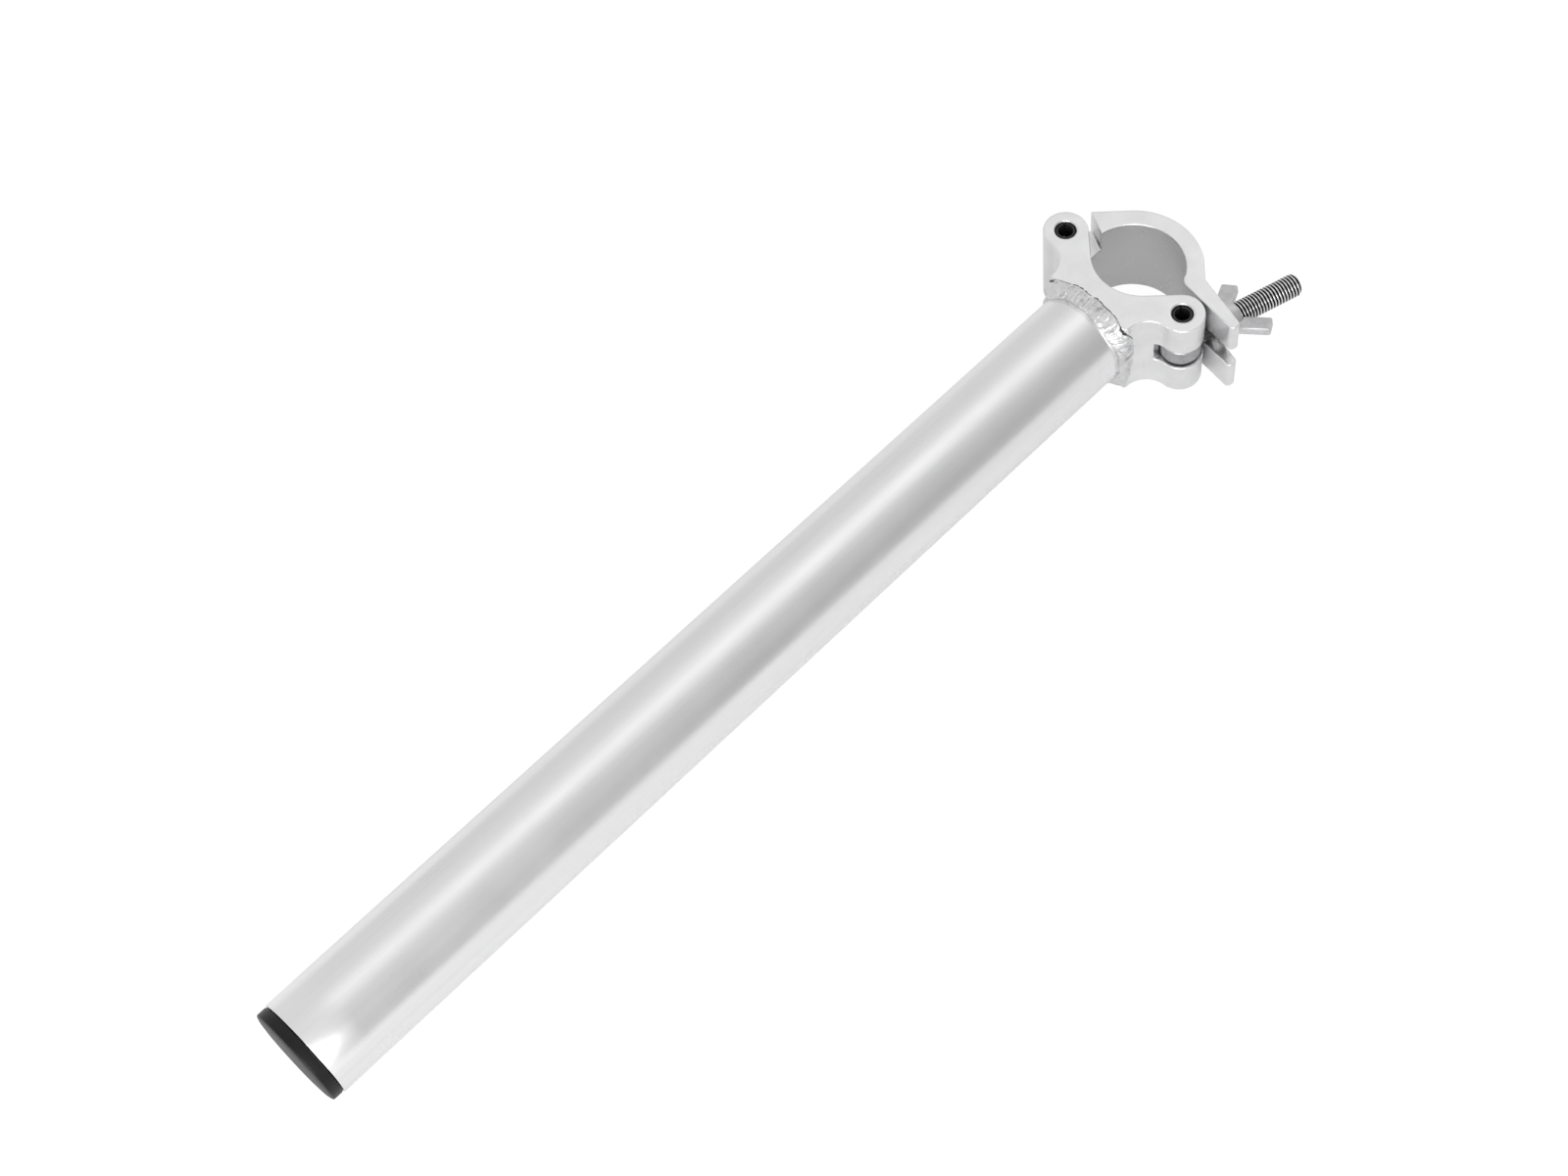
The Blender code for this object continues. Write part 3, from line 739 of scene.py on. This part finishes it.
def thread_height(along, angle):
    """Radius of a rolled V thread with rounded crests and roots, run out at both ends."""
    phase = (along / THREAD_PITCH - angle / math.tau) % 1.0
    wave = 0.5 - 0.5 * math.cos(math.tau * phase)
    crest = min(1.0, 1.25 * wave**0.85)
    depth = THREAD_DEPTH * min(1.0, max(0.0, (along - THREAD_START) / THREAD_RUN_IN))
    radius = THREAD_RADIUS - depth * (1 - crest)
    end_chamfer = THREAD_RADIUS - max(0.0, along - (BOLT_REACH - BOLT_END_CHAMFER))
    return min(radius, end_chamfer)


def threaded_shank():
    turns = [math.tau * i / BOLT_STEPS for i in range(BOLT_STEPS)]
    plain = (HOLE_RADIUS + 2.0, THREAD_START - 0.4)
    rings = [circle_ring(x, SHANK_RADIUS, BOLT_STEPS) for x in plain]
    stride = THREAD_PITCH / THREAD_STATIONS
    count = int((BOLT_REACH - THREAD_START) / stride)
    for i in range(count + 1):
        x = THREAD_START + (BOLT_REACH - THREAD_START) * i / count
        radii = [thread_height(x, a) for a in turns]
        rings.append([(x, r * math.cos(a), r * math.sin(a)) for a, r in zip(turns, radii)])
    tip = rings[-1]
    rings.append([(BOLT_REACH, y * BOLT_TIP_SHARE, z * BOLT_TIP_SHARE) for _, y, z in tip])
    shank = lofted("threaded_shank", rings, smooth=60)
    place(shank, (*BOLT_PIN, 0), bolt_turn())
    return shank


def bolt_eye():
    half = EYE_WIDTH / 2
    eye = prism("bolt_eye", arc((0, 0), EYE_RADIUS, 0, math.tau), -half, half, EYE_EDGE)
    root = [circle_ring(x, SHANK_RADIUS, ROOT_STEPS) for x in (HOLE_RADIUS + SHANK_ROOT, SHANK_END)]
    boolean(eye, lofted("add", root), "UNION")
    boolean(eye, bored_hole("cut", (0, 0), HOLE_RADIUS, half), "DIFFERENCE")
    softened(eye, EYE_VOXEL, 3)
    place(eye, (*BOLT_PIN, 0), bolt_turn())
    return eye


def flank_distance():
    """How far along the bolt the jaw's nose ends, where the washer bears on it."""
    root = Matrix.Rotation(-JAW_CLOSING, 2) @ (NOSE_ROOT - HINGE) + HINGE
    return (root - BOLT_PIN).dot(polar(1, BOLT_ANGLE))


def along_bolt(distance):
    return (*(BOLT_PIN + polar(distance, BOLT_ANGLE)), 0)


def flat_washer():
    hole, mouth = WASHER_HOLE_RADIUS, WASHER_HOLE_RADIUS + WASHER_MOUTH
    ease, rim = WASHER_EASE, WASHER_RADIUS
    profile = [
        (ease, hole),
        (WASHER_THICKNESS - ease, hole),
        (WASHER_THICKNESS, mouth),
        (WASHER_THICKNESS, rim - WASHER_EDGE),
        (WASHER_THICKNESS - ease, rim - ease),
        (WASHER_THICKNESS - WASHER_EDGE, rim),
        (WASHER_EDGE, rim),
        (ease, rim - ease),
        (0, rim - WASHER_EDGE),
        (0, mouth),
    ]
    washer = turned("flat_washer", profile, WASHER_STEPS, closed=True)
    place(washer, along_bolt(flank_distance() + GAP), bolt_turn())
    return washer


def wing_outline(side):
    base = Vector((WING_BASE[0], side * WING_BASE[1]))
    tip = Vector((WING_TIP[0], side * WING_TIP[1]))
    out = (tip - base).normalized()
    across = Vector((-out.y, out.x)) * WING_WIDTH / 2
    corners = [base - across, tip - across, tip + across, base + across]
    points = [corners[0]]
    points += rounded(corners[0], corners[1], corners[2], WING_CORNER_RADIUS)
    points += rounded(corners[1], corners[2], corners[3], WING_CORNER_RADIUS)
    points += [corners[3]]
    return points


def wing_nut():
    profile = [
        (0, HUB_RADIUS - HUB_EDGE),
        (HUB_EDGE, HUB_RADIUS),
        (HUB_HEIGHT - HUB_EDGE, HUB_TOP_RADIUS),
        (HUB_HEIGHT, HUB_TOP_RADIUS - HUB_EDGE),
    ]
    nut = turned("winged_nut", profile, NUT_STEPS)
    half = WING_THICKNESS / 2
    for side in (1, -1):
        boolean(nut, prism("add", wing_outline(side), -half, half, WING_EDGE), "UNION")
    hole = [(-5, NUT_HOLE_RADIUS), (HUB_HEIGHT + 40, NUT_HOLE_RADIUS)]
    boolean(nut, turned("cut", hole, CUTTER_STEPS), "DIFFERENCE")
    sink = [
        (HUB_HEIGHT - SINK_DEPTH, NUT_HOLE_RADIUS - 0.2),
        (HUB_HEIGHT + 0.6, NUT_HOLE_RADIUS + SINK_FLARE),
    ]
    boolean(nut, turned("cut", sink, CUTTER_STEPS), "DIFFERENCE")
    softened(nut, NUT_VOXEL, 3)
    start = flank_distance() + GAP + WASHER_THICKNESS + GAP
    place(nut, along_bolt(start), bolt_turn(WING_ROLL))
    return nut


# ---------------------------------------------------------------- tube, plug and weld


def drawn_tube():
    inner = TUBE_RADIUS - TUBE_WALL
    start, end = TUBE_HIGH.x, TUBE_LOW.x
    profile = [(start, inner), (start, TUBE_RADIUS - TUBE_EDGE), (start - TUBE_EDGE, TUBE_RADIUS)]
    for i in range(1, TUBE_SPANS + 1):
        x = start - TUBE_EDGE + (end - start + TUBE_OVERLAP) * i / TUBE_SPANS
        profile.append((x, TUBE_RADIUS))
    profile += [(end + 0.2, TUBE_RADIUS - 0.15), (end, TUBE_RADIUS - 0.5), (end, inner)]
    return turned("drawn_tube", profile, TUBE_STEPS, closed=True, smooth=30)


def plug_cap():
    """A push-in cap: a shallow domed flange and a hollow ribbed stem inside the tube."""
    face, seat_x, end = PLUG_LOW.x, PLUG_LOW.x + PLUG_FLANGE, PLUG_HIGH.x
    radius = PLUG_HIGH.z
    profile = [(face + rise, r) for rise, r in PLUG_DOME]
    profile += [(face + PLUG_RIM_START, radius - PLUG_RIM_EASE), (face + PLUG_RIM, radius)]
    profile += [(seat_x - PLUG_SEAT_EDGE, radius), (seat_x, radius - PLUG_SEAT_EDGE)]
    stem = TUBE_RADIUS - TUBE_WALL - GAP
    core = stem - PLUG_RIB_HEIGHT
    profile.append((seat_x, core))
    for i in range(PLUG_RIB_COUNT):
        rib = seat_x + PLUG_RIB_START + PLUG_RIB_PITCH * i
        profile += [(rib, core), (rib + PLUG_RIB_CREST, stem), (rib + PLUG_RIB_FOOT, core)]
    hollow = core - PLUG_WALL
    profile += [(end, core), (end, hollow), (seat_x, hollow), (seat_x, PLUG_AXIS_HOLE)]
    return turned("plug_cap", profile, PLUG_STEPS, smooth=35)


def square_reach(angle, half, corner):
    """Distance from the centre to a square of half-width half with round corners, at this angle."""
    large = max(abs(math.cos(angle)), abs(math.sin(angle)))
    small = min(abs(math.cos(angle)), abs(math.sin(angle)))
    flat = half - corner
    if half * small / large <= flat:
        return half / large
    both = flat * (large + small)
    return both + math.sqrt(max(0.0, both * both - 2 * flat * flat + corner * corner))


def weld_extent(a):
    """Where the bead starts on the foot and ends on the tube, at this angle about the tube."""
    c, s = math.cos(a), math.sin(a)
    # 0 at the middle of one of the foot's four faces, 1 near its corners
    off = abs((a + math.pi / 4) % (math.pi / 2) - math.pi / 4) / WELD_FACE_SPAN
    middle = max(0.0, 1.0 - off**3.5)
    side = WELD_FRONT_FAR if c < -0.7 else 0.0
    wander = noise.noise(Vector((c * 5, s * 5, 9.1)))
    front = FOOT_END_X - 0.4 + (WELD_FRONT + side) * middle + WELD_FRONT_WANDER * wander * middle
    shift = WELD_BACK_WANDER * noise.noise(Vector((c * 3, s * 3, 3.7)))
    return front, FOOT_END_X - WELD_BACK + shift


def weld_height(a, share):
    """How far the bead stands over the surface below it: ripples and lumps, then a smooth band."""
    bulge = math.sin(math.pi * share) ** 0.4 if 0 < share < 1 else 0.0
    run = a * 27 + 5.0 * (share - 0.5) ** 2
    beat = run / WELD_PITCH + 0.5 * noise.noise(Vector((run * 0.13, share * 1.2, 0.3)))
    fold = beat % 1.0
    ripple = (fold**0.5 - fold**8) - 0.64
    lumps = noise.fractal(Vector((run * 0.26, share * 2.6, 5.5)), 0.8, 2.0, 4)
    band = min(1.0, max(0.0, (WELD_BAND_START - share) / WELD_BAND_FADE))
    swell = WELD_BAND_SWELL + WELD_SWELL * band
    return bulge * (swell + band * (WELD_RIPPLE * ripple + WELD_LUMPS * lumps))


def weld_bead():
    """Overlapping ripples laid round the joint between the square foot and the round tube."""
    turns = [math.tau * j / WELD_AROUND for j in range(WELD_AROUND)]
    extents = [weld_extent(a) for a in turns]
    feet = [min(square_reach(a, FOOT_HALF_WIDTH, WELD_CORNER), WELD_CORNER_REACH) for a in turns]
    rings = []
    for i in range(WELD_ACROSS + 1):
        share = i / WELD_ACROSS
        ring = []
        for a, (front, back), foot in zip(turns, extents, feet):
            x = front + (back - front) * share
            over = 1.0 - min(1.0, max(0.0, (FOOT_END_X - x) / WELD_SLOPE))
            base = TUBE_RADIUS + (foot - TUBE_RADIUS) * over**1.3
            radius = base - WELD_SUNK + weld_height(a, share)
            y = max(-WELD_REACH, min(WELD_REACH, radius * math.cos(a)))
            z = max(-WELD_REACH, min(WELD_REACH, radius * math.sin(a)))
            ring.append((x, y, z))
        rings.append(ring)
    under = TUBE_RADIUS - 1.0
    for edge in (rings[-1], rings[0]):
        inner = [(p[0], under * math.cos(a), under * math.sin(a)) for p, a in zip(edge, turns)]
        rings.append(inner)
    weld = lofted("rippled_weld", rings, closed=True, smooth=0)
    # each point keeps its share of the way across, for the material; the last two rings are inside
    shares = weld.data.attributes.new("share", "FLOAT", "POINT")
    for i, item in enumerate(shares.data):
        row = i // WELD_AROUND
        item.value = row / WELD_ACROSS if row <= WELD_ACROSS else float(row == WELD_ACROSS + 1)
    return weld


# ---------------------------------------------------------------- putting it together


def finish_piece(piece, body, material, node):
    piece.data.materials.clear()
    piece.data.materials.append(material)
    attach(piece, body)
    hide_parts(node)


seat = Vector((0, 0))
shut_seat = HINGE + Matrix.Rotation(-JAW_CLOSING, 2) @ (seat - HINGE)
body_metal = cast_aluminium("tumbled_body", seat)
finish_piece(body_casting(), "clamp", body_metal, "clamp_body")
jaw_metal = cast_aluminium("tumbled_jaw", shut_seat)
finish_piece(jaw_casting(), "jaw", jaw_metal, "clamp_jaw")
oxide = black_oxide("black_oxide")
finish_piece(spring_pin("hinge_spring_pin", HINGE), "clamp", oxide, "hinge_pin")
finish_piece(spring_pin("bolt_spring_pin", BOLT_PIN), "clamp", oxide, "bolt_pin")
thread = rolled_thread("rolled_thread")
shank = threaded_shank()
eye = bolt_eye()
eye_steel = steel("eye_steel", (0.34, 0.34, 0.35), (0.46, 0.46, 0.47), 0.3, 0.42)
finish_piece(eye, "bolt", eye_steel, "swing_bolt")
finish_piece(shank, "bolt", thread, "swing_bolt")
zinc = steel("zinc_plate", (0.60, 0.60, 0.61), (0.74, 0.74, 0.75), 0.28, 0.40)
finish_piece(flat_washer(), "washer_ring", zinc, "washer")
nut_zinc = steel("nut_zinc", (0.55, 0.55, 0.56), (0.68, 0.68, 0.69), 0.34, 0.46, 260)
finish_piece(wing_nut(), "nut", nut_zinc, "wing_nut")
drawn = tube_aluminium("drawn_aluminium")
finish_piece(drawn_tube(), "clamp", drawn, "main_tube")
bead_metal = weld_aluminium("weld_aluminium")
finish_piece(weld_bead(), "clamp", bead_metal, "weld_bead")
plastic = black_plastic("moulded_black")
finish_piece(plug_cap(), "clamp", plastic, "end_plug")

# ---------------------------------------------------------------- floor, light and camera

FLOOR_HALF = 4000
FLOOR_DROP = 0.0003
FLOOR_GLOW = 1.1
FLOOR_GLOW_SEEN = 0.86
FLOOR_GLOW_MIRRORED = 0.12

# Brightness of the tent by direction about the tube: 0 towards +Y, 0.5 overhead, 1 towards -Y
TENT = (
    (0.0, 0.72),
    (0.22, 0.72),
    (0.34, 0.86),
    (0.40, 1.04),
    (0.47, 1.12),
    (0.53, 0.92),
    (0.60, 0.68),
    (0.72, 0.56),
    (0.90, 0.46),
    (1.0, 0.52),
)
TENT_BEHIND = (0.78, 0.78, 0.78, 1)
TENT_FADE = (-0.06, 0.12)

CAMERA_POSITION = (-0.60656, -0.49171, 1.06284)
CAMERA_AZIMUTH = math.radians(47.32)
CAMERA_TILT = math.radians(58.55)
CAMERA_ROLL = math.radians(-4.49)
CAMERA_LENS = 60.24
CAMERA_SENSOR = 36
CAMERA_SHIFT = (-0.0947, -0.0495)


def make_floor():
    """White to the eye, with a faint shadow; the metal sees mostly its real, shaded surface."""
    bm = bmesh.new()
    half = FLOOR_HALF
    corners = ((-half, -half), (half, -half), (half, half), (-half, half))
    bm.faces.new([bm.verts.new((x, y, 0)) for x, y in corners])
    floor = mesh_object("floor", bm)
    floor.location = (0, 0, cad_low.z - FLOOR_DROP)
    material, nodes, links = new_material("pale_floor")
    shader = nodes["Principled BSDF"]
    shader.inputs["Base Color"].default_value = (0.88, 0.88, 0.88, 1)
    shader.inputs["Roughness"].default_value = 0.9
    shader.inputs["Specular IOR Level"].default_value = 0.1
    glow = nodes.new("ShaderNodeEmission")
    glow.inputs["Strength"].default_value = FLOOR_GLOW
    path = nodes.new("ShaderNodeLightPath")
    mirrored = nodes.new("ShaderNodeMath")
    mirrored.operation = "MULTIPLY"
    mirrored.inputs[1].default_value = FLOOR_GLOW_MIRRORED
    links.new(path.outputs["Is Glossy Ray"], mirrored.inputs[0])
    share = nodes.new("ShaderNodeMath")
    share.operation = "MULTIPLY_ADD"
    share.inputs[1].default_value = FLOOR_GLOW_SEEN
    links.new(path.outputs["Is Camera Ray"], share.inputs[0])
    links.new(mirrored.outputs[0], share.inputs[2])
    mix = nodes.new("ShaderNodeMixShader")
    links.new(share.outputs[0], mix.inputs["Fac"])
    links.new(shader.outputs[0], mix.inputs[1])
    links.new(glow.outputs[0], mix.inputs[2])
    links.new(mix.outputs[0], nodes["Material Output"].inputs["Surface"])
    floor.data.materials.append(material)


def make_world():
    """A studio tent: one long soft light overhead, along the tube, and dimmer sides."""
    world = bpy.data.worlds.new("studio")
    bpy.context.scene.world = world
    world.use_nodes = True
    nodes, links = world.node_tree.nodes, world.node_tree.links
    coords = nodes.new("ShaderNodeTexCoord")
    split = nodes.new("ShaderNodeSeparateXYZ")
    links.new(coords.outputs["Generated"], split.inputs["Vector"])
    angle = nodes.new("ShaderNodeMath")
    angle.operation = "ARCTAN2"
    links.new(split.outputs["Z"], angle.inputs[0])
    links.new(split.outputs["Y"], angle.inputs[1])
    turn = nodes.new("ShaderNodeMath")
    turn.operation = "DIVIDE"
    turn.inputs[1].default_value = math.pi
    links.new(angle.outputs[0], turn.inputs[0])
    tent = ramp(nodes, links, turn.outputs[0], TENT)
    fade = nodes.new("ShaderNodeMapRange")
    fade.interpolation_type = "SMOOTHSTEP"
    fade.inputs["From Min"].default_value = TENT_FADE[0]
    fade.inputs["From Max"].default_value = TENT_FADE[1]
    links.new(split.outputs["X"], fade.inputs["Value"])
    mix = nodes.new("ShaderNodeMix")
    mix.data_type = "RGBA"
    mix.inputs["A"].default_value = TENT_BEHIND
    links.new(fade.outputs["Result"], mix.inputs["Factor"])
    links.new(tent, mix.inputs["B"])
    links.new(mix.outputs["Result"], nodes["Background"].inputs["Color"])
    nodes["Background"].inputs["Strength"].default_value = 1.0


def soft_light(name, position, target, size, power):
    data = bpy.data.lights.new(name, "AREA")
    data.shape = "RECTANGLE"
    data.size, data.size_y = size
    data.energy = power
    light = bpy.data.objects.new(name, data)
    light.location = position
    aim = Vector(target) - Vector(position)
    light.rotation_euler = aim.to_track_quat("-Z", "Y").to_euler()
    bpy.context.scene.collection.objects.link(light)


def make_camera():
    level = Vector((math.cos(CAMERA_AZIMUTH), math.sin(CAMERA_AZIMUTH), 0))
    ahead = level * math.cos(CAMERA_TILT) - Vector((0, 0, math.sin(CAMERA_TILT)))
    right = ahead.cross(Vector((0, 0, 1))).normalized()
    up = right.cross(ahead)
    rolled_right = right * math.cos(CAMERA_ROLL) + up * math.sin(CAMERA_ROLL)
    rolled_up = up * math.cos(CAMERA_ROLL) - right * math.sin(CAMERA_ROLL)
    data = bpy.data.cameras.new("camera")
    data.sensor_width = CAMERA_SENSOR
    data.lens = CAMERA_LENS
    data.shift_x, data.shift_y = CAMERA_SHIFT
    camera = bpy.data.objects.new("camera", data)
    turn = Matrix((rolled_right, rolled_up, -ahead)).transposed()
    camera.matrix_world = Matrix.Translation(Vector(CAMERA_POSITION)) @ turn.to_4x4()
    bpy.context.scene.collection.objects.link(camera)
    bpy.context.scene.camera = camera


make_floor()
make_world()
soft_light("front", (-1.95, -1.4, 0.95), (-0.15, 0, 0), (1.9, 1.5), 36)
bpy.context.scene.view_settings.view_transform = "Standard"
make_camera()
